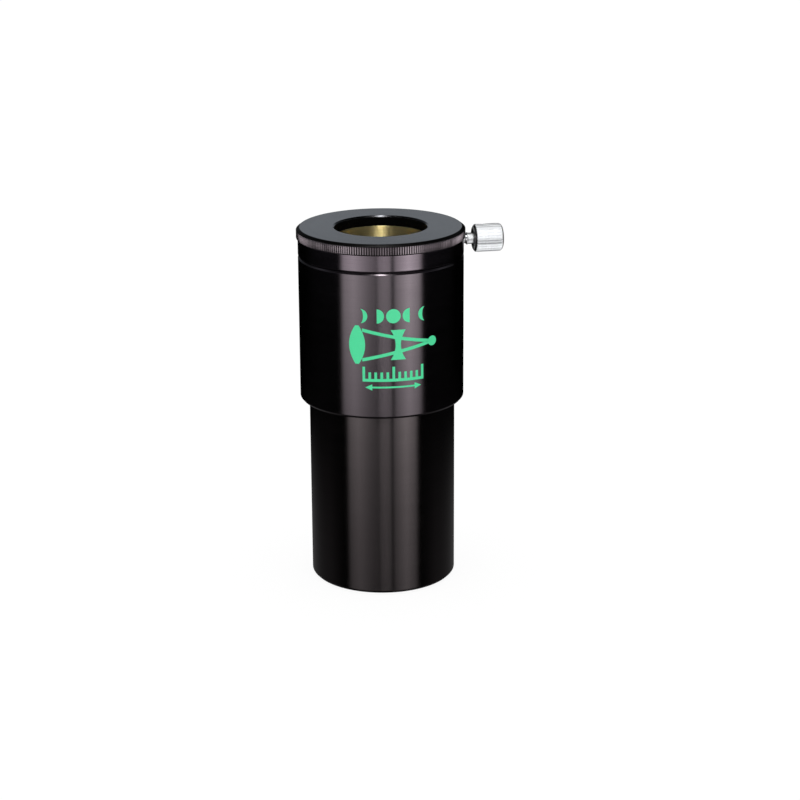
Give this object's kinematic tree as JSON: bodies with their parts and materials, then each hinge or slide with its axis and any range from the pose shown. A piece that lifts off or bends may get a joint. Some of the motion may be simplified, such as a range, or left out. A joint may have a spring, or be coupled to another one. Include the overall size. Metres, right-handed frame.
{
  "type": "barlow lens",
  "caption": "Two-inch barlow lens for a telescope: black tube with a lens cell in its nose barrel, a brass-ring clamp with a thumbscrew, and a lift-out adapter for smaller eyepieces.",
  "frame": {"origin": "centre of the nose barrel's open end, on the optical axis", "axes": "+Z along the optical axis, from the nose barrel to the eyepiece end; +X along the thumbscrew, away from the tube"},
  "size_m": [0.0717, 0.0582, 0.1257],
  "materials": {
    "black_anodised": "satin black anodised, turned",
    "flange_black": "fine-faced black anodised, straight knurl on the rim",
    "matt_black": "matt black anti-reflection",
    "brass": "fine-turned bare brass",
    "satin_aluminium": "bright satin, straight knurl",
    "stainless": "bright turned, threaded",
    "nylon": "natural white",
    "lens_glass": "multi-coated",
    "print_green": "screen-printed mint green ink"
  },
  "bodies": {
    "tube": {"nose_barrel": "black_anodised", "main_housing": "black_anodised", "clamp_collar": "black_anodised", "lens_cell": "matt_black", "crown_lens": "lens_glass", "flint_lens": "lens_glass", "lens_spacer": "matt_black", "lens_retaining_ring": "matt_black", "cell_lock_ring": "matt_black", "lower_baffle": "matt_black", "upper_baffle": "matt_black"},
    "collar_ring": {"collar_clamp_ring": "brass"},
    "screw_tip": {"thumbscrew_tip": "nylon"},
    "thumbscrew": {"thumbscrew_stud": "stainless", "thumbscrew_knob": "satin_aluminium"},
    "adapter_ring": {"adapter_clamp_ring": "brass"},
    "adapter": {"adapter_flange": "flange_black", "adapter_sleeve": "black_anodised"},
    "push_pin": {"clamp_push_pin": "brass"}
  },
  "joints": [
    {"name": "thumbscrew_travel", "type": "slide", "parent": "tube", "child": "screw_tip", "axis": [1, 0, 0], "range_m": [-0.00024, 0.00119]},
    {"name": "thumbscrew_turn", "type": "hinge", "parent": "screw_tip", "child": "thumbscrew", "pos_m": [0.03, 0, 0.1198], "axis": [1, 0, 0], "range_deg": [-110, 540]},
    {"name": "collar_ring_float", "type": "slide", "parent": "tube", "child": "collar_ring", "axis": [1, 0, 0], "range_m": [-0.0002, 0], "stiffness_N_per_m": 200},
    {"name": "adapter_lift", "type": "slide", "parent": "tube", "child": "adapter_ring", "axis": [0, 0, 1], "range_m": [0, 0.025]},
    {"name": "adapter_turn", "type": "hinge", "parent": "adapter_ring", "child": "adapter", "pos_m": [0, 0, 0.11935], "axis": [0, 0, 1], "continuous": true},
    {"name": "push_pin_travel", "type": "slide", "parent": "adapter", "child": "push_pin", "axis": [1, 0, 0], "range_m": [-0.0002, 0]}
  ],
  "couplings": [
    {"joint": "thumbscrew_turn", "follows": "thumbscrew_travel", "rad_per_m": 7915.8},
    {"joint": "push_pin_travel", "follows": "collar_ring_float", "ratio": 1}
  ]
}
